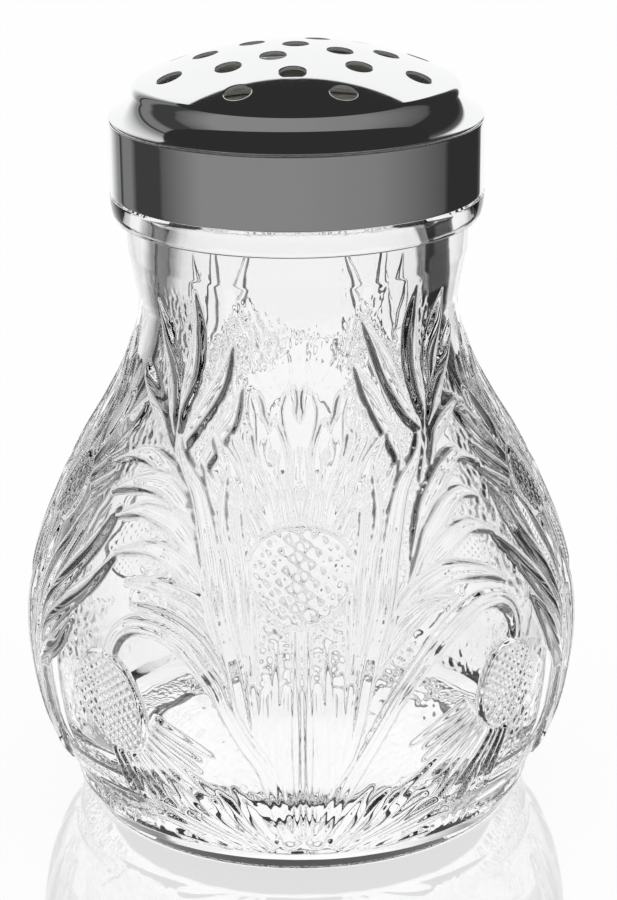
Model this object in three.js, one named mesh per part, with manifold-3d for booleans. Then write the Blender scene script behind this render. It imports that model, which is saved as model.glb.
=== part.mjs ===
// Sugar shaker: a pressed-glass jar with a screw-on metal lid, which is a perforated dome
// on a plain band, with a threaded liner and a sealing ring inside.
// Millimetres, +Z up. Origin: centre of the face that the foot stands on. Front: -Y.
import * as THREE from 'three';
import { mergeVertices } from 'three/addons/utils/BufferGeometryUtils.js';
import Module from 'manifold-3d';

const wasm = await Module();
wasm.setup();

// Clearance between pieces that touch on the real object
const seatGap = 0.3;

// Glass jar, outside: foot, belly and neck
const footRadius = 36.6;
const footEdge = 0.6;
const bellyRadius = 46.3;
const bellyHeight = 30;
const neckRadius = 27.3;
const neckHeight = 84;
const neckLength = 15.4;
const neckFlare = 0.3;

// Height share up to the belly, and radius share from foot to belly
const lowerOutlineShares = [[0.12, 0.2], [0.3, 0.557], [0.5, 0.776], [0.75, 0.938], [1, 1]];
// Height share from belly to neck, and radius share from neck to belly
const upperOutlineShares = [
  [0.139, 0.968], [0.278, 0.872], [0.417, 0.711], [0.556, 0.526],
  [0.694, 0.297], [0.833, 0.103], [1, 0],
];

// Pressed relief: crests reach the outline, and the ground lies under it
const reliefDepth = 1.1;
const reliefSink = 0.5;
const reliefFoot = [8.5, 11];
const reliefTop = [86, 94];
const tipShare = 0.15;

// Leaves, stems and thistle heads as degrees from the front and height, for a quarter of the jar
const quarterLeaves = [
  { width: 4.6, path: [[40, 66], [33, 76], [27, 83], [23, 87]] },
  { width: 4.2, path: [[43, 68], [42, 78], [41, 87], [40, 93]] },
  { width: 4.4, path: [[48, 68], [54, 77], [57, 85], [57, 91]] },
  { width: 4.2, path: [[52, 67], [60, 71], [66, 75], [69, 80]] },
  { width: 3.6, path: [[33, 68], [45, 71.5], [55, 73], [61, 77]] },
  { width: 4, path: [[27, 63], [38, 67.5], [50, 69.5], [61, 69], [67, 66]] },
  { width: 4.2, path: [[23, 56], [31, 61], [42, 64.5], [53, 64], [62, 61]] },
  { width: 4.6, path: [[19, 49], [28, 55], [40, 58.5], [49, 58], [58, 51], [64, 44]] },
  { width: 4.6, path: [[16, 41], [25, 48], [36, 51], [46, 51], [51, 48]] },
  { width: 3.4, path: [[6, 14], [10, 26], [13, 38], [17, 47], [21, 56], [24, 64], [28, 72]] },
  {
    width: 2.3,
    path: [[5, 12], [6.5, 20], [10, 28], [14, 36], [20, 42], [28, 45], [37, 45.5], [44, 43],
      [47, 40], [47, 36]],
  },
  { width: 5.4, path: [[2, 11], [4.2, 20], [5.4, 30], [5.6, 38]] },
  { width: 2.6, path: [[74, 18], [74, 30], [74, 42], [74, 51]] },
  { width: 4, path: [[41, 25], [33, 20], [26, 16]] },
  { width: 4, path: [[74, 62], [74, 72], [72, 84]] },
  { width: 4.4, path: [[5, 59], [11, 68], [20, 75]] },
];
const quarterHeads = [
  { degrees: 46, height: 29.5, halfWidth: 6.4, halfRise: 6.8 },
  { degrees: 74, height: 57, halfWidth: 6.2, halfRise: 6.6 },
];
// The same in the middle of the front and of the side
const middleLeaves = [
  { width: 2, path: [[0, 10], [0, 22], [0, 34], [0, 46]] },
  { width: 4.4, path: [[0, 58], [0, 68], [0, 80]] },
  { width: 4.6, path: [[90, 11], [90, 20], [90, 30], [90, 39]] },
];
const frontHead = { degrees: 0, height: 52.5, halfWidth: 7.6, halfRise: 7.2 };

// Glass jar, underside and inside
const restRingWidth = 7;
const baseRecess = 1.8;
const recessSlope = 2.4;
const baseThickness = 9;
const bellyWall = 4.4;
const neckWall = 6.6;
const innerFillet = 10;

// Glass flange under the lid, and the finish that the lid screws on
const flangeThickness = 3.9;
const flangeRound = 0.9;
const finishHeight = 9.3;
const rimWall = 5.4;
const rimEdge = 0.5;

// Screw thread, right-handed, one start
const threadPitch = 3.6;
const threadDepth = 1.1;
const threadBase = 1.5;
const threadCrest = 0.6;
const threadSink = 0.6;
const threadClearance = 0.5;
const threadRunIn = 0.9;
const threadFadeTurns = 0.1;
const threadTurnsToRelease = 1.2;
const lidThreadTurns = 1.25;

// Sealing ring and threaded liner in the lid
const sealThickness = 1.2;
const sealSideGap = 0.4;
const linerWall = 1.4;
const linerWeb = 0.7;
const linerWebReach = 5.7;

// Metal lid: band, cove and perforated dome
const bandWall = 0.6;
const bandEdge = 0.2;
const domeSheet = 0.6;
const domeInset = 0.2;
const domeLedge = 3.75;
const ledgeLand = 0.15;
const coveHeight = 3.75;
const coveDegrees = 35;
const domeEdgeRound = 1.8;
const domeRise = 7.2;

// Sprinkling holes: radius, and the rings as share of the dome's radius, count and first angle
const holeRadius = 2.1;
const holeOverrun = 1;
const holeRings = [
  { radiusShare: 0, count: 1, firstDegrees: 0 },
  { radiusShare: 0.297, count: 4, firstDegrees: -27 },
  { radiusShare: 0.545, count: 8, firstDegrees: -2 },
  { radiusShare: 0.8, count: 8, firstDegrees: 20 },
];

// Facets
const roundSegments = 40;
const holeSegments = 12;
const bodySteps = 18;
const insideSteps = 11;
const outlineDetail = 80;
const arcSteps = 4;
const capSteps = 6;
const leafStepLength = 6;
const headSides = 12;
const headRings = [[1, 1], [0.9, 0.3], [0.5, 0]];
const slightest = 0.005;

// Heights, from the foot up
const flangeBottom = neckHeight + neckLength;
const flangeTop = flangeBottom + flangeThickness;
const rimTop = flangeTop + finishHeight;
const sealBottom = rimTop + seatGap;
const sealTop = sealBottom + sealThickness;
const webBottom = sealTop + seatGap;
const linerTop = webBottom + linerWeb;
const linerBottom = flangeTop + 2 * seatGap;
const bandBottom = flangeTop + seatGap;
const bandTop = linerTop;
const domeBottom = bandTop + seatGap;
const coveBottom = domeBottom + ledgeLand;
const coveTop = coveBottom + coveHeight;
const domeTop = coveTop + domeRise;

// Radii, from the bore out
const boreRadius = neckRadius - neckWall;
const finishRadius = boreRadius + rimWall;
const threadRadius = finishRadius + threadDepth;
const linerInnerRadius = threadRadius + threadClearance;
const linerOuterRadius = linerInnerRadius + linerWall;
const bandInnerRadius = linerOuterRadius + seatGap;
const lidRadius = bandInnerRadius + bandWall;
const domeRadius = lidRadius - domeLedge;

// The lid's thread lies under the jar's thread, and leaves its end after the stated turns
const threadSeat = (threadBase + threadCrest) / 2 + seatGap;
const lidThreadStart = linerBottom + threadRunIn;
const jarThreadStart = flangeTop + threadRunIn;
const lidThreadTurn = (lidThreadStart + threadSeat - jarThreadStart) / threadPitch;
const jarThreadTurns = lidThreadTurn + threadTurnsToRelease;

// The dome's cap is a sphere through its top that runs into the round of its edge
const roundRadius = domeRadius - domeEdgeRound;
const capRadius = (roundRadius ** 2 + domeRise ** 2 - domeEdgeRound ** 2)
  / (2 * (domeRise - domeEdgeRound));
const capCentre = domeTop - capRadius;
const capEdgeDegrees = THREE.MathUtils.radToDeg(
  Math.acos(roundRadius / (capRadius - domeEdgeRound)));

// A point of an outline: distance from the axis, and height
const at = (radius, height) => new THREE.Vector2(radius, height);

const mix = (from, to, share) => from + (to - from) * share;

// Points on an ellipse arc in the outline plane, with the angle from the outward direction
function arc(centreRadius, centreHeight, reach, rise, fromDegrees, toDegrees, steps) {
  return Array.from({ length: steps + 1 }, (_, i) => {
    const angle = THREE.MathUtils.degToRad(mix(fromDegrees, toDegrees, i / steps));
    return at(centreRadius + reach * Math.cos(angle), centreHeight + rise * Math.sin(angle));
  });
}

// A closed geometry as a solid, with shared vertices and without flat triangles
function solidOf(geometry) {
  geometry.deleteAttribute('normal');
  geometry.deleteAttribute('uv');
  const merged = mergeVertices(geometry);
  const corners = merged.index.array;
  const triangles = [];
  for (let i = 0; i < corners.length; i += 3) {
    const [a, b, c] = corners.slice(i, i + 3);
    if (a !== b && b !== c && c !== a) triangles.push(a, b, c);
  }
  return new wasm.Manifold(new wasm.Mesh({
    numProp: 3,
    vertProperties: new Float32Array(merged.attributes.position.array),
    triVerts: new Uint32Array(triangles),
  }));
}

// A solid's surface as a geometry
function surfaceOf(solid) {
  const { vertProperties, triVerts } = solid.getMesh();
  const geometry = new THREE.BufferGeometry();
  geometry.setAttribute('position', new THREE.Float32BufferAttribute(vertProperties, 3));
  geometry.setIndex(Array.from(triVerts));
  return geometry;
}

// An outline turned about the Z axis. It runs round the section with the solid on its left.
function turned(outline) {
  const lathe = new THREE.LatheGeometry(outline, roundSegments);
  lathe.rotateX(Math.PI / 2);
  return solidOf(lathe);
}

// Sections of the same number of points joined into a closed body, with flat ends
function strip(positions, steps, sides, flipped = false) {
  const faces = [];
  for (let k = 1; k < sides - 1; k += 1) faces.push(0, k, k + 1);
  for (let i = 0; i < steps; i += 1) {
    for (let k = 0; k < sides; k += 1) {
      const [a, b] = [i * sides + k, i * sides + ((k + 1) % sides)];
      faces.push(a, b + sides, b, a, a + sides, b + sides);
    }
  }
  const last = steps * sides;
  for (let k = 1; k < sides - 1; k += 1) faces.push(last, last + k + 1, last + k);
  const geometry = new THREE.BufferGeometry();
  geometry.setAttribute('position', new THREE.Float32BufferAttribute(positions, 3));
  geometry.setIndex(flipped ? faces.reverse() : faces);
  return solidOf(geometry);
}

// A ridge wound up a wall of the root radius, sunk into it, with both ends faded
function threadRidge(rootRadius, crestRadius, startHeight, startTurn, turns) {
  const steps = Math.ceil(turns * roundSegments);
  const fadeSteps = threadFadeTurns * roundSegments;
  const sunkRadius = rootRadius + Math.sign(rootRadius - crestRadius) * threadSink;
  const positions = [];
  for (let i = 0; i <= steps; i += 1) {
    const turn = (turns * i) / steps;
    const angle = 2 * Math.PI * (startTurn + turn);
    const height = startHeight + threadPitch * turn;
    const full = Math.min(1, (i + 1) / fadeSteps, (steps - i + 1) / fadeSteps);
    const section = [
      [sunkRadius, -threadBase / 2], [mix(rootRadius, crestRadius, full), -threadCrest / 2],
      [mix(rootRadius, crestRadius, full), threadCrest / 2], [sunkRadius, threadBase / 2],
    ];
    for (const [radius, rise] of section) {
      positions.push(radius * Math.cos(angle), radius * Math.sin(angle), height + rise);
    }
  }
  return strip(positions, steps, 4, crestRadius < rootRadius);
}

// Outer outline of the jar from the foot's edge to the underside of the flange
function bodyOutline() {
  const lower = lowerOutlineShares.map(([rise, reach]) => (
    at(mix(footRadius, bellyRadius, reach), bellyHeight * rise)));
  const upper = upperOutlineShares.map(([rise, reach]) => (
    at(mix(neckRadius, bellyRadius, reach), mix(bellyHeight, neckHeight, rise))));
  const neckTop = at(neckRadius + neckFlare, flangeBottom);
  return new THREE.SplineCurve([at(footRadius, footEdge), ...lower, ...upper, neckTop]);
}

// How far the ground lies under the outline at a height, as a share of the relief's depth
function groundShare(height) {
  const overFoot = (height - reliefFoot[0]) / (reliefFoot[1] - reliefFoot[0]);
  const underNeck = (reliefTop[1] - height) / (reliefTop[1] - reliefTop[0]);
  return THREE.MathUtils.clamp(Math.min(overFoot, underNeck), 0, 1);
}

// The outline with the ground of the relief sunk into it
function groundOutline(outer) {
  return Array.from({ length: bodySteps + 1 }, (_, i) => {
    const point = outer.getPoint(i / bodySteps);
    const along = outer.getTangent(i / bodySteps);
    const depth = reliefDepth * groundShare(point.y);
    return at(point.x - depth * along.y, point.y + depth * along.x);
  });
}

// The outline as radius, slope and length at any height, for forms that lie on it
function outlineSurface(outer) {
  const shape = outer.getPoints(outlineDetail);
  const lengths = [0];
  for (let i = 1; i < shape.length; i += 1) {
    lengths.push(lengths[i - 1] + shape[i].distanceTo(shape[i - 1]));
  }
  return (height) => {
    const next = Math.max(1, shape.findIndex((point) => point.y >= height));
    const [low, high] = [shape[next - 1], shape[next]];
    const share = (height - low.y) / (high.y - low.y);
    const along = high.clone().sub(low).normalize();
    return {
      radius: mix(low.x, high.x, share),
      along,
      length: mix(lengths[next - 1], lengths[next], share),
    };
  };
}

// A point of the relief: degrees from the front, height, millimetres aside and depth
function reliefPoint(surface, degrees, height, aside, rise, depth) {
  const { along } = surface(height);
  const raised = height + rise * along.y;
  const { radius } = surface(raised);
  const angle = THREE.MathUtils.degToRad(degrees) + aside / radius;
  const reach = radius - depth * along.y;
  return [reach * Math.sin(angle), -reach * Math.cos(angle), raised + depth * along.x];
}

// A leaf or stem as a low tapered ridge, sunk into the ground
function leafRidge(surface, { width, path }) {
  const curve = new THREE.SplineCurve(path.map(([degrees, height]) => at(degrees, height)));
  const unit = ({ x, y }) => {
    const { radius, length } = surface(y);
    return at(THREE.MathUtils.degToRad(x) * radius, length);
  };
  const [from, to] = [unit(curve.getPoint(0)), unit(curve.getPoint(1))];
  const steps = Math.max(3, Math.round(from.distanceTo(to) / leafStepLength));
  const positions = [];
  for (let i = 0; i <= steps; i += 1) {
    const share = i / steps;
    const centre = curve.getPoint(share);
    const ahead = unit(curve.getPoint(Math.min(1, share + 0.01)))
      .sub(unit(curve.getPoint(Math.max(0, share - 0.01)))).normalize();
    const full = Math.max(tipShare, Math.sin(Math.PI * mix(0.08, 0.92, share)));
    const depth = reliefDepth * groundShare(centre.y) + reliefSink;
    const crest = i === 0 || i === steps ? depth - reliefSink / 2 : 0;
    const section = [[width / 2, depth], [0, crest], [-width / 2, depth]];
    for (const [aside, under] of section) {
      const offset = aside * full;
      positions.push(...reliefPoint(
        surface, centre.x, centre.y, offset * ahead.y, -offset * ahead.x, under));
    }
  }
  return strip(positions, steps, 3);
}

// A thistle head as a low dome on the ground
function headDome(surface, { degrees, height, halfWidth, halfRise }) {
  const positions = [];
  for (const [size, depthShare] of headRings) {
    const depth = depthShare * (reliefDepth + (depthShare === 1 ? reliefSink : 0));
    for (let k = 0; k < headSides; k += 1) {
      const angle = (-2 * Math.PI * k) / headSides;
      positions.push(...reliefPoint(
        surface, degrees, height, size * halfWidth * Math.cos(angle),
        size * halfRise * Math.sin(angle), depth));
    }
  }
  return strip(positions, headRings.length - 1, headSides);
}

// All leaves, stems and heads, mirrored and repeated round the jar
function reliefForms(surface) {
  const quarter = wasm.Manifold.union([
    ...quarterLeaves.map((leaf) => leafRidge(surface, leaf)),
    ...quarterHeads.map((head) => headDome(surface, head)),
  ]);
  const half = wasm.Manifold.union([
    quarter, quarter.mirror([1, 0, 0]), headDome(surface, frontHead),
    ...middleLeaves.map((leaf) => leafRidge(surface, leaf)),
  ]);
  return half.add(half.rotate([0, 0, 180]));
}

// Inside of the jar from the mouth down to the floor: the outside less the wall, with a round floor
function insideOutline(outer) {
  const shape = outer.getPoints(outlineDetail);
  const outerRadiusAt = (height) => {
    const next = Math.max(1, shape.findIndex((point) => point.y >= height));
    const [low, high] = [shape[next - 1], shape[next]];
    return mix(low.x, high.x, (height - low.y) / (high.y - low.y));
  };
  return Array.from({ length: insideSteps + 1 }, (_, i) => {
    const height = mix(neckHeight, baseThickness, i / insideSteps);
    const rise = Math.max(0, (height - bellyHeight) / (neckHeight - bellyHeight));
    const filletShare = THREE.MathUtils.clamp(1 - (height - baseThickness) / innerFillet, 0, 1);
    const fillet = innerFillet * (1 - Math.sqrt(1 - filletShare ** 2));
    return at(outerRadiusAt(height) - mix(bellyWall, neckWall, rise) - fillet, height);
  });
}

function glassJar() {
  const outer = bodyOutline();
  const recessRadius = footRadius - footEdge - restRingWidth;
  const flange = arc(
    lidRadius - flangeRound, flangeTop, flangeRound, -flangeThickness, 90, 0, arcSteps);
  const profile = [
    at(0, baseRecess), at(recessRadius - recessSlope, baseRecess), at(recessRadius, 0),
    at(footRadius - footEdge, 0),
    ...groundOutline(outer),
    ...flange,
    at(finishRadius, flangeTop), at(finishRadius, rimTop - rimEdge),
    at(finishRadius - rimEdge, rimTop), at(boreRadius + rimEdge, rimTop),
    at(boreRadius, rimTop - rimEdge),
    ...insideOutline(outer),
    at(0, baseThickness),
  ];
  return wasm.Manifold.union([
    turned(profile),
    threadRidge(finishRadius, threadRadius, jarThreadStart, 0, jarThreadTurns),
    reliefForms(outlineSurface(outer)),
  ]).simplify(slightest);
}

function threadedLiner() {
  const webRadius = linerInnerRadius - linerWebReach;
  const profile = [
    at(linerInnerRadius, linerBottom), at(linerOuterRadius, linerBottom),
    at(linerOuterRadius, linerTop), at(webRadius, linerTop),
    at(webRadius, webBottom), at(linerInnerRadius, webBottom), at(linerInnerRadius, linerBottom),
  ];
  return turned(profile).add(threadRidge(
    linerInnerRadius, finishRadius + threadClearance, lidThreadStart, lidThreadTurn,
    lidThreadTurns));
}

function sealingRing() {
  const [inner, outer] = [boreRadius + rimEdge, linerInnerRadius - sealSideGap];
  return turned([
    at(inner, sealBottom), at(outer, sealBottom), at(outer, sealTop),
    at(inner, sealTop), at(inner, sealBottom),
  ]);
}

function lidBand() {
  return turned([
    at(bandInnerRadius, bandBottom), at(lidRadius - bandEdge, bandBottom),
    at(lidRadius, bandBottom + bandEdge), at(lidRadius, bandTop - bandEdge),
    at(lidRadius - bandEdge, bandTop), at(bandInnerRadius, bandTop),
    at(bandInnerRadius, bandBottom),
  ]);
}

// Points on the cap from the given radius in to the axis
function capOutline(sphereRadius, fromRadius) {
  const edgeAngle = Math.asin(fromRadius / sphereRadius);
  return Array.from({ length: capSteps + 1 }, (_, i) => {
    const angle = edgeAngle * (1 - i / capSteps);
    return at(sphereRadius * Math.sin(angle), capCentre + sphereRadius * Math.cos(angle));
  });
}

// A cutter for each sprinkling hole, square to the cap
function holeCutters() {
  const depth = 2 * (domeSheet + holeOverrun);
  return holeRings.flatMap(({ radiusShare, count, firstDegrees }) => (
    Array.from({ length: count }, (_, i) => {
      const tilt = Math.asin((domeRadius * radiusShare) / capRadius);
      const around = THREE.MathUtils.degToRad(firstDegrees) + (2 * Math.PI * i) / count;
      const cutter = new THREE.CylinderGeometry(holeRadius, holeRadius, depth, holeSegments);
      cutter.rotateX(Math.PI / 2);
      cutter.translate(0, 0, capRadius - domeSheet / 2);
      cutter.rotateX(tilt);
      cutter.rotateZ(around);
      cutter.translate(0, 0, capCentre);
      return solidOf(cutter);
    })));
}

// The dome from the axis out under the cap, down the cove to the flange, and back over the top
function lidDome() {
  const outerEdge = lidRadius - domeInset;
  const coveAngle = THREE.MathUtils.degToRad(coveDegrees);
  const reach = (outerEdge - domeRadius) / (1 - Math.cos(coveAngle));
  const rise = coveHeight / Math.sin(coveAngle);
  const innerDegrees = THREE.MathUtils.radToDeg(
    Math.asin((coveTop - domeBottom) / (rise + domeSheet)));
  const roundShare = capRadius / (capRadius - domeEdgeRound);
  const innerShare = (capRadius - domeSheet) / (capRadius - domeEdgeRound);
  const profile = [
    ...capOutline(capRadius - domeSheet, roundRadius * innerShare).reverse(),
    ...arc(domeRadius + reach, coveTop, -(reach + domeSheet), -(rise + domeSheet), 0,
      innerDegrees, arcSteps),
    at(outerEdge, domeBottom),
    ...arc(domeRadius + reach, coveTop, -reach, -rise, coveDegrees, 0, arcSteps),
    ...arc(roundRadius, coveTop, domeEdgeRound, domeEdgeRound, 0, capEdgeDegrees, arcSteps)
      .slice(1),
    ...capOutline(capRadius, roundRadius * roundShare).slice(1),
  ];
  return holeCutters().reduce((dome, cutter) => dome.subtract(cutter), turned(profile));
}

function mesh(name, solid, look) {
  const node = new THREE.Mesh(surfaceOf(solid), new THREE.MeshStandardMaterial(look));
  node.name = name;
  return node;
}

const glass = { color: 0xf2f6f6, roughness: 0.03, metalness: 0, transparent: true, opacity: 0.35 };
const chrome = { color: 0xd8dadc, roughness: 0.08, metalness: 1 };
const linerPlastic = { color: 0xe9e7e0, roughness: 0.45, metalness: 0 };
const sealRubber = { color: 0xd5d2c8, roughness: 0.7, metalness: 0 };

const lid = new THREE.Group();
lid.add(
  mesh('sealing_ring', sealingRing(), sealRubber),
  mesh('threaded_liner', threadedLiner(), linerPlastic),
  mesh('lid_band', lidBand(), chrome),
  mesh('lid_dome', lidDome(), chrome),
);

const shaker = new THREE.Group();
shaker.add(mesh('glass_jar', glassJar(), glass), lid);

export default shaker;
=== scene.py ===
# Sugar shaker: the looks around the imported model.
# Sizes are in millimetres here and become metres where a mesh is made. The front faces -Y.
import math

import bpy
import numpy as np
from mathutils import Matrix, Vector
from mathutils.geometry import delaunay_2d_cdt


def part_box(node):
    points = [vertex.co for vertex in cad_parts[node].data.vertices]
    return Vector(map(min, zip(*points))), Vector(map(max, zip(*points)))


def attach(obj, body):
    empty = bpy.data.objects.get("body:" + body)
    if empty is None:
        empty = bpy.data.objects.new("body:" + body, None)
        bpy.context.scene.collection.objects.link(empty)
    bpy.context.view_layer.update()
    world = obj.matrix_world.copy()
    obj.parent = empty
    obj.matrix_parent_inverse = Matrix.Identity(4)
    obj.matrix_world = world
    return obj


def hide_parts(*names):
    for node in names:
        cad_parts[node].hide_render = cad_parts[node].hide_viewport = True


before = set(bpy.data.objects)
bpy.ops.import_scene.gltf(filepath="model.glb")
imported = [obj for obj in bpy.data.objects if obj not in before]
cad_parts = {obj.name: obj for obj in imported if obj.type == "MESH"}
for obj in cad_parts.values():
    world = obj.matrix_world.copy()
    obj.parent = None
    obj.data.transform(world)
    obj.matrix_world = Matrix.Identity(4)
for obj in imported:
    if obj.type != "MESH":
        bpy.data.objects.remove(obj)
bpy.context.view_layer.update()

MM = 0.001


def node_corners(node):
    """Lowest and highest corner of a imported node, in millimetres."""
    return [[round(length / MM, 3) for length in corner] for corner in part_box(node)]


# Sizes that the frame gives
band_low, band_high = node_corners("lid_band")
dome_low, dome_high = node_corners("lid_dome")
jar_low, jar_high = node_corners("glass_jar")
LID_RADIUS = band_high[0]
BAND_BOTTOM = band_low[2]
BAND_TOP = band_high[2]
DOME_BOTTOM = dome_low[2]
DOME_OUTER = dome_high[0]
RIM_TOP = jar_high[2]

# Jar, as in the source of the part
FOOT_RADIUS = 36.6
FOOT_EDGE = 0.6
BELLY_RADIUS = 46.3
BELLY_HEIGHT = 30.0
NECK_RADIUS = 27.3
NECK_HEIGHT = 84.0
NECK_FLARE = 0.3
LOWER_SHARES = ((0.12, 0.2), (0.3, 0.557), (0.5, 0.776), (0.75, 0.938), (1.0, 1.0))
UPPER_SHARES = (
    (0.139, 0.968), (0.278, 0.872), (0.417, 0.711), (0.556, 0.526),
    (0.694, 0.297), (0.833, 0.103), (1.0, 0.0),
)
REST_RING = 7.0
BASE_RECESS = 1.8
RECESS_SLOPE = 2.4
BASE_THICKNESS = 9.0
BELLY_WALL = 4.4
NECK_WALL = 6.6
INNER_FILLET = 10.0
FLANGE_BOTTOM = 99.4
FLANGE_TOP = 103.3
FLANGE_ROUND = 0.9
RIM_EDGE = 0.5
BORE_RADIUS = 20.7
FINISH_RADIUS = 26.1
THREAD_RADIUS = 27.2
THREAD_START = 104.2
THREAD_TURNS = 1.742
THREAD_PITCH = 3.6
THREAD_BASE = 1.5
THREAD_CREST = 0.6
THREAD_FADE = 0.1

# Lid, as in the source of the part
BAND_INNER = 29.4
BAND_EDGE = 0.2
BAND_PLAIN = 0.4
DOME_RADIUS = 26.25
DOME_SHEET = 0.6
LEDGE_LAND = 0.15
LEDGE_EDGE = 0.1
COVE_HEIGHT = 3.75
COVE_DEGREES = 35.0
COVE_END_DEGREES = 1.2
EDGE_ROUND = 1.8
DOME_RISE = 7.2
HOLE_RADIUS = 2.1
HOLE_RINGS = ((0.0, 1, 0.0), (0.297, 4, -27.0), (0.545, 8, -2.0), (0.8, 8, 20.0))

# Dome, worked out: a cap of a sphere with a rounded edge
ROUND_RADIUS = DOME_RADIUS - EDGE_ROUND
COVE_TOP = DOME_BOTTOM + LEDGE_LAND + COVE_HEIGHT
CAP_RADIUS = (ROUND_RADIUS**2 + DOME_RISE**2 - EDGE_ROUND**2) / (2 * (DOME_RISE - EDGE_ROUND))
CAP_CENTRE = np.array([0, 0, COVE_TOP + DOME_RISE - CAP_RADIUS])
CAP_SHARE = ROUND_RADIUS / (CAP_RADIUS - EDGE_ROUND)

# Rolled lip and wall of a hole: distance from the wall, depth, and lean of the normal
HOLE_LIP = 0.34
LIP_ROWS = (
    (0.18, 0.01, 8), (0.09, 0.04, 30), (0.03, 0.09, 58), (0.0, 0.17, 90),
    (0.0, DOME_SHEET - 0.12, 90), (0.1, DOME_SHEET, 150),
)
# Lip rows deeper than this get the dim grey finish of the underside: unpolished metal, darkened
# as painted shade inside the holes
SHADED_UNPOLISHED_FROM = 0.3

# Facets of the fine meshes
RING_COLUMNS = 256
HOLE_COLUMNS = 48
DOME_SPACING = 0.9
DOME_CLEAR = 0.35
BORDER_CLEAR_SHARE = 0.985
RING_TOLERANCE = 1e-4
MERGE_TOLERANCE = 1e-7
OUTLINE_STEPS = 60
RECESS_ROWS = 24
REST_ROWS = 26
FINISH_ROWS = 36
INSIDE_ROWS = 90
INNER_FLOOR_ROWS = 24
AXIS_CLEAR = 1.0


def arc(centre, reach, rise, start, stop, steps):
    """Points (radius, height) on an ellipse arc, with the angle from the outward direction."""
    angle = np.radians(np.linspace(start, stop, steps + 1))
    return np.stack([centre[0] + reach * np.cos(angle), centre[1] + rise * np.sin(angle)], 1)


def spline(points, per_span):
    """Uniform Catmull-Rom curve through the points, as the part's own outline is made."""
    points = np.asarray(points, float)
    before = np.vstack([points[:1], points[:-1]])
    after = np.vstack([points[2:], points[-1:], points[-1:]])
    t = np.arange(per_span)[:, None] / per_span
    spans = []
    for i in range(len(points) - 1):
        p1, p2 = points[i], points[i + 1]
        v0 = (p2 - before[i]) / 2
        v1 = (after[i] - p1) / 2
        curve = (2 * p1 - 2 * p2 + v0 + v1) * t**3
        curve = curve + (-3 * p1 + 3 * p2 - 2 * v0 - v1) * t**2 + v0 * t + p1
        spans.append(curve)
    return np.vstack(spans + [points[-1:]])


def make_mesh(name, vertices, faces, normals=None):
    """A smooth-shaded object from millimetre vertices and a list of faces."""
    mesh = bpy.data.meshes.new(name)
    mesh.from_pydata((np.asarray(vertices) * MM).tolist(), [], faces)
    mesh.validate()
    mesh.shade_smooth()
    if normals is not None:
        mesh.normals_split_custom_set_from_vertices(normals.tolist())
    mesh.update()
    piece = bpy.data.objects.new(name, mesh)
    bpy.context.scene.collection.objects.link(piece)
    return piece


def ring_faces(rows, columns, wrap_rows):
    """Quads between rows of a grid that closes round the axis, and from last row to first."""
    last = rows if wrap_rows else rows - 1
    i = np.repeat(np.arange(last), columns)
    j = np.tile(np.arange(columns), last)
    below = (i * columns, (i + 1) % rows * columns)
    k = (j + 1) % columns
    return np.stack([below[0] + j, below[0] + k, below[1] + k, below[1] + j], 1)


def turned(profile, columns):
    """Grid of vertices for a profile turned about the axis, one row for each profile point."""
    around = 2 * math.pi * np.arange(columns) / columns
    radius = profile[:, 0][:, None]
    x = radius * np.cos(around)[None, :]
    y = radius * np.sin(around)[None, :]
    z = np.repeat(profile[:, 1][:, None], columns, 1)
    return np.stack([x, y, z], -1)


def ring_piece(name, profile):
    """A closed ring: the profile runs round its section with the solid on its left."""
    grid = turned(np.asarray(profile, float), RING_COLUMNS)
    rows = grid.shape[0]
    faces = ring_faces(rows, RING_COLUMNS, True)
    return make_mesh(name, grid.reshape(-1, 3), faces.tolist())


# Outline of the jar
lower_points = [
    (FOOT_RADIUS + (BELLY_RADIUS - FOOT_RADIUS) * reach, BELLY_HEIGHT * rise)
    for rise, reach in LOWER_SHARES
]
upper_points = [
    (NECK_RADIUS + (BELLY_RADIUS - NECK_RADIUS) * reach,
     BELLY_HEIGHT + (NECK_HEIGHT - BELLY_HEIGHT) * rise)
    for rise, reach in UPPER_SHARES
]
outline = spline(
    [(FOOT_RADIUS, FOOT_EDGE)] + lower_points + upper_points
    + [(NECK_RADIUS + NECK_FLARE, FLANGE_BOTTOM)], OUTLINE_STEPS)
outline_length = np.concatenate(
    [[0], np.cumsum(np.hypot(np.diff(outline[:, 0]), np.diff(outline[:, 1])))])


def outline_radius(height):
    return np.interp(height, outline[:, 1], outline[:, 0])


def outline_arc(height):
    """Length along the outline from the foot's edge up to a height."""
    return np.interp(height, outline[:, 1], outline_length)


# Pressed relief: a height map over angle from the front and length along the outline, from 0
# on the ground to 1 at the crests. It is drawn for a quarter turn, with room on either side.
RELIEF_DEPTH = 1.25
COLUMN_DEGREES = 0.3
ROW_STEP = 0.25
DRAWN_FROM = -25.2
DRAWN_TO = 115.2
PATH_STEPS = 8
GROOVE = 0.4
SOFT_EDGE = 0.35
FOOT_PLAIN = 4.0
FOOT_FADE = 2.5
NECK_PLAIN = 94.0
NECK_FADE = 8.0
REST_STIPPLE = 0.18

# Levels of a leaf, strand or head, as shares of the relief's depth, and their shapes
LEAF_LEVEL = 0.45
LEAF_CROWN = 0.37
LEAF_RIB = 0.18
LEAF_END_LEVEL = 0.45
LEAF_END_SHARE = 0.2
LEAF_POINT = 0.8
VEIN_WIDTH = 0.3
STRAND_SHORTER = 0.16
STRAND_LOWER = 0.45
STRAND_CHANGE = 2.4
HEAD_LEVEL = 0.62
HEAD_BROADER = 0.12
HEAD_MARGIN = 1.5
KNOB_FADE = 6

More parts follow.
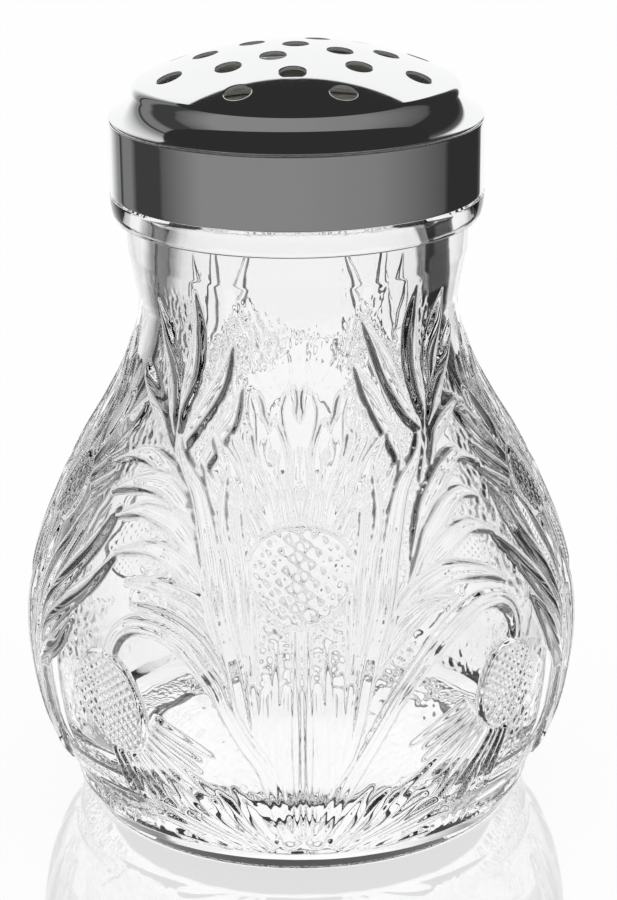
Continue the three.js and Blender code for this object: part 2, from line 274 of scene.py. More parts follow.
relief_rows = int(outline_length[-1] / ROW_STEP)
row_arc = np.linspace(0, outline_length[-1], relief_rows + 1)
row_height = np.interp(row_arc, outline_length, outline[:, 1])
row_radius = np.interp(row_arc, outline_length, outline[:, 0])
mm_per_degree = row_radius * math.pi / 180
drawn_degrees = np.arange(DRAWN_FROM, DRAWN_TO + COLUMN_DEGREES / 2, COLUMN_DEGREES)
relief = np.zeros((len(row_arc), len(drawn_degrees)))


def rounded(x):
    """Cross-section of a ridge: 1 in the middle, 0 at -1 and 1, steep only near its edges."""
    return np.sqrt(np.clip(1 - x * x, 0, 1))


def cover(cells, body, inside):
    """Paints a form over what is there, where its distance inside its edge is positive."""
    share = np.clip(inside / SOFT_EDGE + 0.5, 0, 1)
    relief[cells] = relief[cells] * (1 - share) + body * share


def cells_within(low_arc, high_arc, low_angle, high_angle, reach):
    """Rows and columns of the map within reach of a span of lengths and angles."""
    rows = slice(*np.searchsorted(row_arc, [low_arc - reach, high_arc + reach]))
    margin = reach / mm_per_degree[rows].min()
    columns = slice(*np.searchsorted(drawn_degrees, [low_angle - margin, high_angle + margin]))
    return rows, columns


def patch(centre, reach):
    """Cells of the map around a point, with their distances across and along from it."""
    angle, height = centre
    middle = outline_arc(height)
    rows, columns = cells_within(middle, middle, angle, angle, reach)
    across = (drawn_degrees[columns][None, :] - angle) * mm_per_degree[rows][:, None]
    along = np.repeat((row_arc[rows] - middle)[:, None], across.shape[1], 1)
    return (rows, columns), across, along


def near_path(path, reach):
    """Distance to a path, position along it and side, for the cells of the map around it."""
    fine = spline([(angle, outline_arc(height)) for angle, height in path], PATH_STEPS)
    rows, columns = cells_within(
        fine[:, 1].min(), fine[:, 1].max(), fine[:, 0].min(), fine[:, 0].max(), reach)
    angle = drawn_degrees[columns][None, :]
    scale = mm_per_degree[rows][:, None]
    along = row_arc[rows][:, None]
    distance = np.full((len(along), angle.shape[1]), np.inf)
    share = np.zeros_like(distance)
    side = np.zeros_like(distance)
    spans = len(fine) - 1
    for i, (start, stop) in enumerate(zip(fine[:-1], fine[1:])):
        ax = (angle - start[0]) * scale
        ay = along - start[1]
        bx = (stop[0] - start[0]) * scale
        by = stop[1] - start[1]
        t = np.clip((ax * bx + ay * by) / (bx * bx + by * by), 0, 1)
        dx = ax - t * bx
        dy = ay - t * by
        away = np.hypot(dx, dy)
        closer = away < distance
        distance = np.where(closer, away, distance)
        share = np.where(closer, (i + t) / spans, share)
        side = np.where(closer, np.sign(bx * dy - by * dx), side)
    return (rows, columns), distance, share, side


def leaf(path, width, widest=0.45, tip=0.15, ribs=1, vein=0.0):
    """Paints a long leaf over what is there, with rounded ribs and a groove round it."""
    cells, distance, share, side = near_path(path, width / 2 + GROOVE + SOFT_EDGE)
    rise = np.clip(share / widest, 0, 1)
    fall = np.clip((1 - share) / (1 - widest), 0, 1)
    swell = np.sin(np.minimum(rise, fall) * math.pi / 2) ** LEAF_POINT
    half = width / 2 * np.maximum(tip, swell)
    x = side * np.clip(distance / half, 0, 1)
    place = (x + 1) / 2 * ribs
    across_rib = 2 * (place - np.floor(place)) - 1
    body = LEAF_LEVEL + LEAF_CROWN * rounded(x) + LEAF_RIB * rounded(across_rib)
    body = body - vein * np.exp(-((distance / VEIN_WIDTH) ** 2))
    off_end = np.clip(np.minimum(share, 1 - share) / LEAF_END_SHARE, 0, 1)
    body = body * (LEAF_END_LEVEL + (1 - LEAF_END_LEVEL) * off_end)
    relief[cells] = relief[cells] * np.clip((distance - half) / GROOVE, 0, 1)
    cover(cells, body, half - distance)


def tuft(root, aim, spread, count, inner, outer, side_share=0.55, curl=0.25, level=0.35,
         crest=0.25, tip_length=7.0, wobble=0.0):
    """Paints strands that spread from a root. Angles are in degrees clockwise from up."""
    cells, across, along = patch(root, outer + 1)
    away = np.hypot(across, along)
    turn = (np.degrees(np.arctan2(across, along)) - aim + 180) % 360 - 180
    turn = turn / (1 + curl * away / outer)
    turn = turn + wobble * np.sin(0.5 * away + 0.4 * turn)
    place = np.clip((turn / spread + 0.5) * count, -1, count)
    number = np.floor(place)
    off_aim = np.abs(2 * (number + 0.5) / count - 1)
    ragged = 0.5 + 0.5 * np.sin(number * STRAND_CHANGE)
    reach = outer * (1 - (1 - side_share) * off_aim**1.2) * (1 - STRAND_SHORTER * ragged)
    taper = np.sqrt(np.clip((reach - away) / tip_length, 0.0004, 1))
    x = (2 * (place - number) - 1) / taper
    half = 0.5 * math.radians(spread) / count * away * (1 + curl * away / outer)
    body = level + crest * (1 - STRAND_LOWER + STRAND_LOWER * ragged) * rounded(x)
    inside = half * taper * (1 - np.abs(x))
    inside = np.minimum(inside, np.minimum(away - inner, reach - away))
    inside = np.where((number >= 0) & (number < count), inside, -1)
    cover(cells, body, inside)


def knobbed(centre, half_width, half_height, lean_degrees, pitch, slant, depth,
            across_share=1.0):
    """Paints the head of a thistle: egg-shaped, domed and cut across in two directions."""
    cells, across, along = patch(centre, max(half_width, half_height) + HEAD_MARGIN)
    lean = math.radians(lean_degrees)
    x = across * math.cos(lean) + along * math.sin(lean)
    y = along * math.cos(lean) - across * math.sin(lean)
    broad = half_width * (1 + HEAD_BROADER * y / half_height)
    size = np.hypot(x / broad, y / half_height)
    first = math.radians(slant)
    row = np.cos(2 * math.pi * (x * math.cos(first) + y * math.sin(first)) / pitch)
    file = np.cos(2 * math.pi * (y * math.cos(first) - x * math.sin(first)) / pitch)
    knobs = (0.5 + 0.5 * row) * (1 - across_share + across_share * (0.5 + 0.5 * file))
    body = HEAD_LEVEL + (1 - HEAD_LEVEL - depth) * rounded(np.minimum(size, 1))
    body = body + depth * knobs * np.clip((1 - size) * KNOB_FADE, 0, 1)
    inside = (1 - size) * min(half_width, half_height)
    relief[cells] = relief[cells] * np.clip(-inside / GROOVE, 0, 1)
    cover(cells, body, inside)


def leaves(paths, width, **looks):
    for path in paths:
        leaf(path, width, **looks)


# Points (degrees from the front, height) of the forms that differ between left and right
UPPER_RIGHT = (
    [(33, 64), (38, 70), (35, 73.5), (32, 77.5), (29, 81.5), (26, 84.5), (22, 88)],
    [(38, 68), (41, 73), (41, 77), (41, 82), (42, 88), (43, 92)],
    [(40, 70), (47, 76.5), (50, 81), (54, 85), (58, 90)],
    [(40, 68), (43, 71), (49, 75.5), (56, 79), (66, 83.5)],
    [(38, 66), (42, 69.5), (48, 71.5), (55, 73), (62, 72)],
    [(28, 64), (28, 69), (25, 74.5), (22, 78), (19, 81)],
)
UPPER_LEFT = (
    [(34, 66), (35, 69), (32, 73), (28, 77), (25, 80.5), (23, 84)],
    [(37, 68), (39, 73), (38, 77), (37, 81), (36, 86), (36, 92)],
    [(39, 69), (42, 73.5), (45, 78), (49, 82.5), (55, 89)],
    [(38, 68), (44, 71.5), (51, 74), (57, 76.5), (62, 78.5)],
    [(29, 62), (27, 67), (24, 71), (21, 74), (19, 78)],
)
LOBES_RIGHT = (
    [(25, 52), (30, 59), (36, 62.5), (42, 65), (48, 66), (56, 63.5)],
    [(22, 47), (29, 55), (33, 57.5), (38, 60), (44, 61), (50, 59.5)],
    [(20, 45), (28, 51.5), (33, 54), (38, 55.5), (44, 56), (52, 53.5)],
    [(15, 39), (20, 45), (24, 48), (30, 50), (36, 50.5), (44, 49), (50, 46.5)],
    [(11, 32), (14, 38.5), (18, 42.5), (23, 45.5), (28, 47), (34, 47)],
)
LOBES_LEFT = (
    [(27, 56), (30, 61), (33, 64), (38, 65.5), (44, 66.5), (51, 66), (60, 63.5)],
    [(24, 54), (27, 59), (31, 61.5), (36, 63), (42, 63), (48, 62), (55, 60)],
    [(18, 46), (21, 51.5), (25, 55), (30, 58), (36, 59), (42, 59), (50, 57)],
    [(16, 43), (19, 48.5), (23, 50.5), (27, 52.5), (32, 54), (38, 54), (47, 52)],
    [(12, 35), (16, 42), (19, 45.5), (23, 48), (28, 49), (33, 49.5), (41, 48.5)],
    [(14, 33), (17, 37.5), (21, 41), (26, 43.5), (32, 45), (38, 45.5)],
)
SIDE_RIGHT = (
    [(69, 29), (67, 36), (62, 43), (56, 49), (50, 54)],
    [(70, 30), (68, 39), (64, 47), (59, 54), (56, 60)],
    [(71, 32), (71, 42), (68, 51), (64, 58)],
    [(70, 24), (66, 31), (62, 37), (58, 42)],
)
SIDE_LEFT = (
    [(69, 30), (65, 36.5), (58, 42), (51, 47), (47, 51)],
    [(70, 30), (66, 40), (59, 47.5), (53, 53.5), (50, 58)],
    [(71, 32), (69, 43), (64, 51), (59, 58)],
    [(70, 26), (66, 31), (60, 35), (56, 39.5)],
)
STEM_RIGHT = [(3, 6), (8, 16.5), (16, 29), (20, 34), (26, 39), (31, 42), (36, 44), (41, 45),
              (46, 44.5), (49, 42.5), (50, 39.5), (49, 36)]
STEM_LEFT = [(3, 6), (7, 20), (11, 26), (15, 32), (17, 35.5), (21, 39), (25, 41.5), (31, 43),
             (37, 42.5), (41, 40), (43, 35.5)]


def draw_side(upper, lobes, side_leaves, stem, head, head_size, slant):
    """The design on one side of the front, later forms over earlier ones."""
    relief[:] = 0
    # Side thistle, its stem and the leaves beside it
    tuft((76, 50), 0, 84, 9, 12.0, 34.0, level=0.5, crest=0.07)
    knobbed((76, 57), 6.0, 6.6, 0, 1.7, 45, 0.2)
    leaf([(74, 8), (74, 30), (74, 42), (75, 51)], 2.6, widest=0.5, tip=0.7, vein=0.3)
    leaf([(77, 8), (81, 20), (83, 32), (82, 44)], 5.0, ribs=3, widest=0.6)
    leaf([(90, 7), (90, 20), (90, 30), (90, 39)], 5.0, ribs=2, widest=0.6)
    leaf([(90, 34), (88, 44), (86, 52), (85, 60)], 3.4, ribs=2)
    leaf([(84, 50), (78, 62), (76, 72), (78, 82)], 3.4, ribs=2)
    leaves(side_leaves, 3.0, widest=0.5, tip=0.3)
    leaf([(70, 10), (69, 20), (70, 32), (73, 44)], 2.4, widest=0.5, tip=0.5)
    # Upper leaves, then the long lobes of the fern from the top one down
    leaves(upper, 3.0, widest=0.55, tip=0.2)
    leaves(lobes, 3.7, ribs=2)
    # Central thistle
    tuft((0, 47), 0, 104, 26, 9.0, 37.0, level=0.42, crest=0.2, wobble=0.8)
    knobbed((0, 52.6), 8.4, 7.9, 0, 2.1, slant, 0.1, 0.6)
    # Main rib with its own small leaves towards the thistle
    leaf([(8.5, 28), (10.2, 40), (12, 50), (14.5, 58), (16, 65)], 2.6)
    leaf([(10.5, 32), (13, 44), (16, 53), (19, 60), (20, 68)], 2.8)
    leaf([(4, 7), (10, 26), (13, 38), (17, 47), (21, 56), (26, 63), (33, 67), (37, 70)], 3.4,
         widest=0.5, tip=0.35, ribs=2)
    # Low leaves that spread from the foot of the stem
    tuft((2, 1), 56, 60, 8, 6.0, 29.0, side_share=0.75, curl=0.1, level=0.4, crest=0.35)
    # Stem with two broad combed leaves at the foot
    tuft((4.6, -6), 0.5, 12.5, 5, 11.0, 44.5, side_share=0.93, curl=0.1, level=0.4,
         crest=0.35, wobble=0.2)
    leaf([(1.2, 6), (1.3, 22), (1.3, 34), (1.2, 46)], 1.5, widest=0.5, tip=0.8)
    # Stem that bends over, and the drooping thistle
    tuft((head[0] + 4, head[1] + 6), 217, 52, 11, 14.0, 31.0, side_share=0.8, curl=0.1,
         level=0.4, crest=0.4)
    leaf(stem, 3.2, widest=0.5, tip=0.85, ribs=2, vein=0.2)
    knobbed(head, head_size[0], head_size[1], -36, 1.3, 0, 0.28)
    return relief.copy()


right_relief = draw_side(
    UPPER_RIGHT, LOBES_RIGHT, SIDE_RIGHT, STEM_RIGHT, (46, 30), (6.5, 7.4), 58)
left_relief = draw_side(
    UPPER_LEFT, LOBES_LEFT, SIDE_LEFT, STEM_LEFT, (42, 28.6), (6.6, 9.0), -58)

# Fold the two drawings round the jar
NEAR_FRONT = -DRAWN_FROM
ring_columns = int(round(360 / COLUMN_DEGREES))
from_front = np.arange(ring_columns) * COLUMN_DEGREES
folded = np.abs((from_front + 90) % 180 - 90)
front_left = (from_front > 270)[None, :]


def relief_at(drawing, degrees):
    position = (degrees - DRAWN_FROM) / COLUMN_DEGREES
    return drawing[:, np.round(position).astype(int)]


def smooth(field, times):
    """Evens a map out between neighbours, round the jar and along it."""
    for _ in range(times):
        field = (np.roll(field, 1, 1) + 2 * field + np.roll(field, -1, 1)) / 4
        inner = (field[:-2] + 2 * field[1:-1] + field[2:]) / 4
        field = np.vstack([field[:1], inner, field[-1:]])
    return field


def noise_map(times, seed):
    """Seeded noise with a spread of 1, smoothed the given number of times."""
    field = smooth(np.random.default_rng(seed).normal(size=whole.shape), times)
    return field / field.std()


def side_relief(near, far):
    """One side of the jar. Near the front the other side's drawing reaches over into it."""
    beyond = np.where(folded < NEAR_FRONT, -folded, folded)
    own = relief_at(near, folded)
    both = np.maximum(own, relief_at(far, beyond))
    return np.where((folded < NEAR_FRONT)[None, :], both, own)


right_side = side_relief(right_relief, left_relief)
left_side = side_relief(left_relief, right_relief)
whole = smooth(np.where(front_left, left_side, right_side), 1)

# Stippled patches of ground between the leaves
STIPPLE = 0.06
STIPPLE_DEGREES = 62
STIPPLE_FADE = 8
patches = np.clip(0.35 + 1.2 * noise_map(400, 5), 0, 1)
bare = np.clip(1 - 4 * whole, 0, 1)
bare = bare * np.clip((STIPPLE_DEGREES - folded) / STIPPLE_FADE, 0, 1)[None, :]
whole = whole + STIPPLE * noise_map(4, 6) * patches * bare


def inside_profile():
    """Inner wall from the mouth down to the floor: the outside less the wall."""
    rows = []
    for height in np.linspace(NECK_HEIGHT, BASE_THICKNESS, INSIDE_ROWS):
        rise = max(0.0, (height - BELLY_HEIGHT) / (NECK_HEIGHT - BELLY_HEIGHT))
        wall = BELLY_WALL + (NECK_WALL - BELLY_WALL) * rise
        share = min(1.0, max(0.0, 1 - (height - BASE_THICKNESS) / INNER_FILLET))
        fillet = INNER_FILLET * (1 - math.sqrt(1 - share**2))
        rows.append((outline_radius(height) - wall - fillet, height))
    return rows


def under_profile():
    """Underside from near the axis out to the foot's edge."""
    foot_edge = FOOT_RADIUS - FOOT_EDGE
    recess = foot_edge - REST_RING
    rows = [(r, BASE_RECESS) for r in np.linspace(AXIS_CLEAR, recess - RECESS_SLOPE, RECESS_ROWS)]
    rows += [(r, 0.0) for r in np.linspace(recess, foot_edge, REST_ROWS)]
    rows += [tuple(p) for p in arc((foot_edge, FOOT_EDGE), FOOT_EDGE, -FOOT_EDGE, 70, 20, 3)]
    return rows


def top_profile():
    """Bead under the lid, the finish that carries the thread, and the rim."""
    bead_middle = (LID_RADIUS - FLANGE_ROUND, FLANGE_TOP)
    rim_base = RIM_TOP - RIM_EDGE
    bead = arc(bead_middle, FLANGE_ROUND, FLANGE_BOTTOM - FLANGE_TOP, 90, 0, 16)[1:]
    finish = [(FINISH_RADIUS, z) for z in np.linspace(FLANGE_TOP, rim_base, FINISH_ROWS)]
    outer = arc((FINISH_RADIUS - RIM_EDGE, rim_base), RIM_EDGE, RIM_EDGE, 15, 90, 5)
    inner = arc((BORE_RADIUS + RIM_EDGE, rim_base), RIM_EDGE, RIM_EDGE, 90, 180, 6)
    return np.vstack([bead, finish, outer, inner])


def pressed_wall(wall):
    """Radius and height of the wall for each column, with the ground of the relief sunk in."""
    slope = np.gradient(wall, axis=0)
    slope /= np.linalg.norm(slope, axis=1)[:, None]
    fade = np.clip((row_height - FOOT_PLAIN) / FOOT_FADE, 0, 1)
    fade = fade * np.clip((NECK_PLAIN - row_height) / NECK_FADE, 0, 1)
    inset = RELIEF_DEPTH * (1 - whole) * fade[:, None]
    radius = wall[:, 0][:, None] - inset * slope[:, 1][:, None]
    height = wall[:, 1][:, None] + inset * slope[:, 0][:, None]
    return radius, height


def jar_piece():
    """The whole jar as one closed surface, from the underside round to the floor inside."""
    under = under_profile()
    wall = np.stack([row_radius, row_height], 1)
    inner = inside_profile()
    floor_radii = np.linspace(inner[-1][0], AXIS_CLEAR, INNER_FLOOR_ROWS)[1:]
    floor_rows = [(r, BASE_THICKNESS) for r in floor_radii]
    profile = np.vstack([under, wall, top_profile(), inner, floor_rows])
    around = np.radians(from_front)
    x = profile[:, 0][:, None] + thread_rise(profile, around)
    z = np.repeat(profile[:, 1][:, None], ring_columns, 1)
    pressed = slice(len(under), len(under) + len(wall))
    x[pressed], z[pressed] = pressed_wall(wall)
    # Fine stipple on the ring that the jar stands on
    stippled = slice(RECESS_ROWS + 1, RECESS_ROWS + REST_ROWS - 1)
    stipple = noise_map(2, 7)[:REST_ROWS - 2]
    z[stippled] = REST_STIPPLE * np.clip(0.5 + 0.4 * stipple, 0, 1)
    grid = np.stack([x * np.sin(around), -x * np.cos(around), z], -1)
    rows = len(profile)
    vertices = np.vstack([grid.reshape(-1, 3), [(0, 0, BASE_RECESS), (0, 0, BASE_THICKNESS)]])
    faces = ring_faces(rows, ring_columns, False).tolist()
    bottom = rows * ring_columns
    top_row = (rows - 1) * ring_columns
    for j in range(ring_columns):
        k = (j + 1) % ring_columns
        faces.append([bottom, k, j])
        faces.append([bottom + 1, top_row + j, top_row + k])
    return make_mesh("pressed_jar", vertices, faces)


def thread_rise(profile, around):
    """How far the screw thread stands out of the finish, for each row and column."""
    turn = (around / (2 * math.pi) - 0.25) % 1.0
    rise = np.zeros((len(profile), len(around)))
    on_finish = (profile[:, 0] > FINISH_RADIUS - 0.01) & (profile[:, 1] > FLANGE_TOP - 0.01)
    on_finish &= profile[:, 0] < FINISH_RADIUS + 0.01
    for lap in range(2):
        turns = turn + lap
        height = THREAD_START + THREAD_PITCH * turns
        away = np.abs(profile[:, 1][:, None] - height[None, :])
        flank = (THREAD_BASE / 2 - away) / ((THREAD_BASE - THREAD_CREST) / 2)
        ends = np.minimum(turns, THREAD_TURNS - turns) / THREAD_FADE
        full = np.clip(ends, 0, 1)[None, :]
        depth = (THREAD_RADIUS - FINISH_RADIUS) * full * np.clip(flank, 0, 1)
        rise = np.maximum(rise, np.where(on_finish[:, None], depth, 0))
    return rise


class Sheet:
    """Points with their normals, and faces, of a sheet that is built up in strips."""

    def __init__(self):
        self.points = []
        self.normals = []
        self.faces = []
        self.shaded_unpolished = []

    def add_loop(self, points, normals):
        start = len(self.points)
        self.points += [*points]
        self.normals += [*normals]
        return list(range(start, len(self.points)))

    def add_strip(self, first, second, shaded_unpolished=False):
        """Quads between two closed loops with the same number of points."""
        for i in range(len(first)):
            k = (i + 1) % len(first)
            if shaded_unpolished:
                self.shaded_unpolished.append(len(self.faces))
            self.faces.append([first[i], first[k], second[k], second[i]])


def hole_frames():
    """Axis of each hole, with the directions down the dome and to the side of it."""
    holes = []
    for share, count, first in HOLE_RINGS:
        tilt = math.asin(DOME_RADIUS * share / CAP_RADIUS)
        for i in range(count):
            turn = math.radians(first + 360 * i / count - 90)
            out = np.array([math.cos(turn), math.sin(turn), 0])
            side = np.array([-math.sin(turn), math.cos(turn), 0])
            axis = out * math.sin(tilt) + np.array([0, 0, math.cos(tilt)])
            down = out * math.cos(tilt) - np.array([0, 0, math.sin(tilt)])
            holes.append((axis, down, side))
    return holes


def off_axis(hole):
    """Directions away from a hole's axis, once round it."""
    axis, down, side = hole
    beta = 2 * math.pi * np.arange(HOLE_COLUMNS) / HOLE_COLUMNS
    return np.cos(beta)[:, None] * down + np.sin(beta)[:, None] * side


def hole_circle(hole, radius):
    """Directions from the middle of the cap's sphere to a circle round a hole."""
    share = radius / CAP_RADIUS
    return off_axis(hole) * share + hole[0] * math.sqrt(1 - share * share)


def loop_edges(start, count):
    return [(start + i, start + (i + 1) % count) for i in range(count)]


def lifted(points):
    """Directions over places in the plane."""
    return np.column_stack([points, np.sqrt(1 - (points**2).sum(1))])


def cap_places(border, holes):
    """Places for the corners of the cap's triangles, seen from above, with the fixed edges."""
    places = [tuple(p) for p in border]
    edges = loop_edges(0, RING_COLUMNS)
    for hole in holes:
        edges += loop_edges(len(places), HOLE_COLUMNS)
        places += [tuple(p[:2]) for p in hole_circle(hole, HOLE_RADIUS + HOLE_LIP)]
    centres = np.array([hole[0][:2] for hole in holes])
    keep_off = (HOLE_RADIUS + HOLE_LIP + DOME_CLEAR) / CAP_RADIUS
    spacing = DOME_SPACING / CAP_RADIUS
    rings = int(CAP_SHARE / spacing)
    for ring in range(1, rings):
        reach = ring * CAP_SHARE / rings
        count = max(6, int(2 * math.pi * reach / spacing))
        for turn in 2 * math.pi * (np.arange(count) + 0.5 * (ring % 2)) / count:
            place = np.array([math.cos(turn), math.sin(turn)]) * reach
            off_holes = np.hypot(*(centres - place).T).min() > keep_off
            if off_holes and reach < CAP_SHARE * BORDER_CLEAR_SHARE:
                places.append(tuple(place))
    return places, edges


def cap_net(border, holes):
    """Directions over the cap outside its holes, and the triangles between them."""
    places, edges = cap_places(border, holes)
    points, _, triangles, _, _, _ = delaunay_2d_cdt(
        [Vector(p) for p in places], edges, [], 0, MERGE_TOLERANCE)
    points = np.array([tuple(p) for p in points])
    triangles = [tuple(t) for t in triangles]
    # A triangle lies in a hole if its three corners are on that hole's ring
    directions = lifted(points)
    ring_cosine = math.sqrt(1 - ((HOLE_RADIUS + HOLE_LIP) / CAP_RADIUS) ** 2)
    in_hole = np.zeros(len(triangles), bool)
    for hole in holes:
        on_ring = directions @ hole[0] > ring_cosine - RING_TOLERANCE
        in_hole |= on_ring[np.array(triangles)].all(1)
    kept = [t for t, hidden in zip(triangles, in_hole) if not hidden]
    kept = [t if cross(points, t) > 0 else t[::-1] for t in kept]
    used = sorted({i for t in kept for i in t})
    renumber = {old: new for new, old in enumerate(used)}
    return lifted(points[used]), [tuple(renumber[i] for i in t) for t in kept]


def cross(points, corners):
    a, b, c = (points[i] for i in corners)
    return (b[0] - a[0]) * (c[1] - a[1]) - (b[1] - a[1]) * (c[0] - a[0])


def nearest(directions, loop):
    """Numbers of the cap's points that lie on the directions of a loop."""
    return [int(np.argmin(((directions - d) ** 2).sum(1))) for d in loop]


def add_hole(sheet, hole, top_ring, under_ring):
    """Rolled lip and wall of a hole, from the top face through to the underside."""
    away = off_axis(hole)
    previous = top_ring
    for off_wall, depth, lean_degrees in LIP_ROWS:
        circle = hole_circle(hole, HOLE_RADIUS + off_wall)
        lean = math.radians(lean_degrees)
        current = sheet.add_loop(
            CAP_CENTRE + (CAP_RADIUS - depth) * circle,
            circle * math.cos(lean) - away * math.sin(lean))
        sheet.add_strip(previous, current, depth > SHADED_UNPOLISHED_FROM)
        previous = current
    sheet.add_strip(previous, under_ring, True)


def skirt_profile():
    """Rounded edge, cove and flange of the dome, then the underside of the cove."""
    edge_degrees = math.degrees(math.acos(CAP_SHARE))
    cove_angle = math.radians(COVE_DEGREES)
    reach = (DOME_OUTER - DOME_RADIUS) / (1 - math.cos(cove_angle))
    rise = COVE_HEIGHT / math.sin(cove_angle)
    cove_middle = (DOME_RADIUS + reach, COVE_TOP)
    inner_degrees = math.degrees(math.asin((COVE_TOP - DOME_BOTTOM) / (rise + DOME_SHEET)))
    edge = arc((ROUND_RADIUS, COVE_TOP), EDGE_ROUND, EDGE_ROUND, edge_degrees, 0, 14)[1:]
    cove = arc(cove_middle, -reach, -rise, 0, COVE_DEGREES - COVE_END_DEGREES, 22)[1:]
    land = [
        (DOME_OUTER - LEDGE_EDGE / 2, DOME_BOTTOM + LEDGE_LAND),
        (DOME_OUTER, DOME_BOTTOM + LEDGE_EDGE),
        (DOME_OUTER - LEDGE_EDGE / 5, DOME_BOTTOM + LEDGE_EDGE / 5),
        (DOME_OUTER - LEDGE_EDGE, DOME_BOTTOM),
    ]
    below = arc(
        cove_middle, -(reach + DOME_SHEET), -(rise + DOME_SHEET), inner_degrees, 0, 12)
    return np.vstack([edge, cove, land, below])


def add_skirt(sheet, top_border, under_border, spin):
    """The turned skirt between the border of the top face and that of the underside."""
    profile = skirt_profile()
    tangent = np.gradient(profile, axis=0)
    tangent /= np.linalg.norm(tangent, axis=1)[:, None]
    previous = top_border
    for row, (radial, axial) in zip(turned(profile, RING_COLUMNS), tangent):
        normals = [np.array([-axial * c, -axial * s, radial]) for c, s in spin]
        current = sheet.add_loop(row, normals)
        sheet.add_strip(current, previous)
        previous = current
    sheet.add_strip(under_border, previous)


def dome_piece():
    """The perforated cap with its rounded edge, cove and thin flange, as one closed sheet."""
    around = 2 * math.pi * np.arange(RING_COLUMNS) / RING_COLUMNS
    spin = np.stack([np.cos(around), np.sin(around)], 1)
    holes = hole_frames()
    directions, triangles = cap_net(spin * CAP_SHARE, holes)
    sheet = Sheet()
    top = sheet.add_loop(CAP_CENTRE + CAP_RADIUS * directions, directions)
    under = sheet.add_loop(CAP_CENTRE + (CAP_RADIUS - DOME_SHEET) * directions, -directions)
    sheet.faces = [[top[i] for i in t] for t in triangles]
    sheet.faces += [[under[i] for i in t[::-1]] for t in triangles]
    sheet.shaded_unpolished = list(range(len(triangles), len(sheet.faces)))
    for hole in holes:
        ring = nearest(directions, hole_circle(hole, HOLE_RADIUS + HOLE_LIP))
        add_hole(sheet, hole, [top[i] for i in ring], [under[i] for i in ring])
    border = nearest(directions, lifted(spin * CAP_SHARE))
    add_skirt(sheet, [top[i] for i in border], [under[i] for i in border], spin)
    dome = make_mesh(
        "perforated_dome", np.array(sheet.points), sheet.faces, np.array(sheet.normals))
    return dome, sheet.shaded_unpolished


def band_piece():
    """The plain band, with small rolled edges."""
    turn_in = LID_RADIUS - BAND_EDGE
    low = BAND_BOTTOM + BAND_EDGE
    high = BAND_TOP - BAND_EDGE
    profile = [(BAND_INNER, BAND_BOTTOM)]
    profile += [tuple(p) for p in arc((turn_in, low), BAND_EDGE, BAND_EDGE, -90, 0, 5)]
    profile += [(LID_RADIUS, z) for z in np.linspace(low + BAND_PLAIN, high - BAND_PLAIN, 8)]
    profile += [tuple(p) for p in arc((turn_in, high), BAND_EDGE, BAND_EDGE, 0, 90, 5)]
    profile += [(BAND_INNER, BAND_TOP), (BAND_INNER, (BAND_TOP + BAND_BOTTOM) / 2)]
    return ring_piece("plain_band", profile)


# Materials
def node_material(name, colour):
    material = bpy.data.materials.new(name)
    material.use_nodes = True
    shader = material.node_tree.nodes["Principled BSDF"]
    shader.inputs["Base Color"].default_value = colour
    return material, material.node_tree, shader


def add_node(tree, kind, **values):
    node = tree.nodes.new(kind)
    for key, value in values.items():
        setattr(node, key, value)
    return node


def noise_node(tree, scale, detail=3.0, stretch=None):
    """Noise in object space, in features per metre, stretched where asked."""
    place = add_node(tree, "ShaderNodeTexCoord")
    source = place.outputs["Object"]
    if stretch:
        mapping = add_node(tree, "ShaderNodeMapping")
        mapping.inputs["Scale"].default_value = stretch
        tree.links.new(source, mapping.inputs["Vector"])
        source = mapping.outputs["Vector"]
    noise = add_node(tree, "ShaderNodeTexNoise")
    noise.inputs["Scale"].default_value = scale
    noise.inputs["Detail"].default_value = detail
    tree.links.new(source, noise.inputs["Vector"])
    return noise


def range_node(tree, value, low, high):
    """Maps a 0 to 1 value onto a range."""
    node = add_node(tree, "ShaderNodeMapRange")
    node.inputs["To Min"].default_value = low
    node.inputs["To Max"].default_value = high
    tree.links.new(value, node.inputs["Value"])
    return node.outputs["Result"]


def surface_detail(tree, shader, noise, roughness, bump, depth):
    """Roughness between two values, and bump of a strength and depth, from a noise."""
    tree.links.new(
        range_node(tree, noise.outputs["Fac"], *roughness), shader.inputs["Roughness"])
    add_bump(tree, shader, noise, bump, depth)


def add_bump(tree, shader, noise, strength, distance):
    bump = add_node(tree, "ShaderNodeBump")
    bump.inputs["Strength"].default_value = strength
    bump.inputs["Distance"].default_value = distance
    tree.links.new(noise.outputs["Fac"], bump.inputs["Height"])
    tree.links.new(bump.outputs["Normal"], shader.inputs["Normal"])


def glass_material():
    material, tree, shader = node_material("pressed_glass", (1.0, 1.0, 1.0, 1))
    shader.inputs["Transmission Weight"].default_value = 1.0
    shader.inputs["IOR"].default_value = 1.5
    shader.inputs["Specular IOR Level"].default_value = 0.22
    surface_detail(tree, shader, noise_node(tree, 90.0, 2.0), (0.0, 0.02), 0.25, 0.0004)
    return material


def chrome_material():
    material, tree, shader = node_material("polished_chrome", (0.9, 0.905, 0.91, 1))
    shader.inputs["Metallic"].default_value = 1.0
    wipe = noise_node(tree, 900.0, 4.0, (1.0, 1.0, 0.15))
    tree.links.new(
        range_node(tree, wipe.outputs["Fac"], 0.02, 0.07), shader.inputs["Roughness"])
    add_bump(tree, shader, noise_node(tree, 60.0, 1.0), 0.1, 0.0002)
    return material


def liner_material():
    material, tree, shader = node_material("moulded_plastic", (0.81, 0.79, 0.74, 1))
    surface_detail(tree, shader, noise_node(tree, 700.0, 3.0), (0.38, 0.52), 0.2, 0.0001)
    return material


# Dim grey, not metal: partly the unpolished underside's own tone, partly painted shade where the
# insides of the holes fall dark
def shaded_inside_material():
    material, tree, shader = node_material("unpolished_shaded_inside", (0.3, 0.3, 0.29, 1))
    surface_detail(tree, shader, noise_node(tree, 500.0, 3.0), (0.35, 0.5), 0.1, 0.0001)
    return material


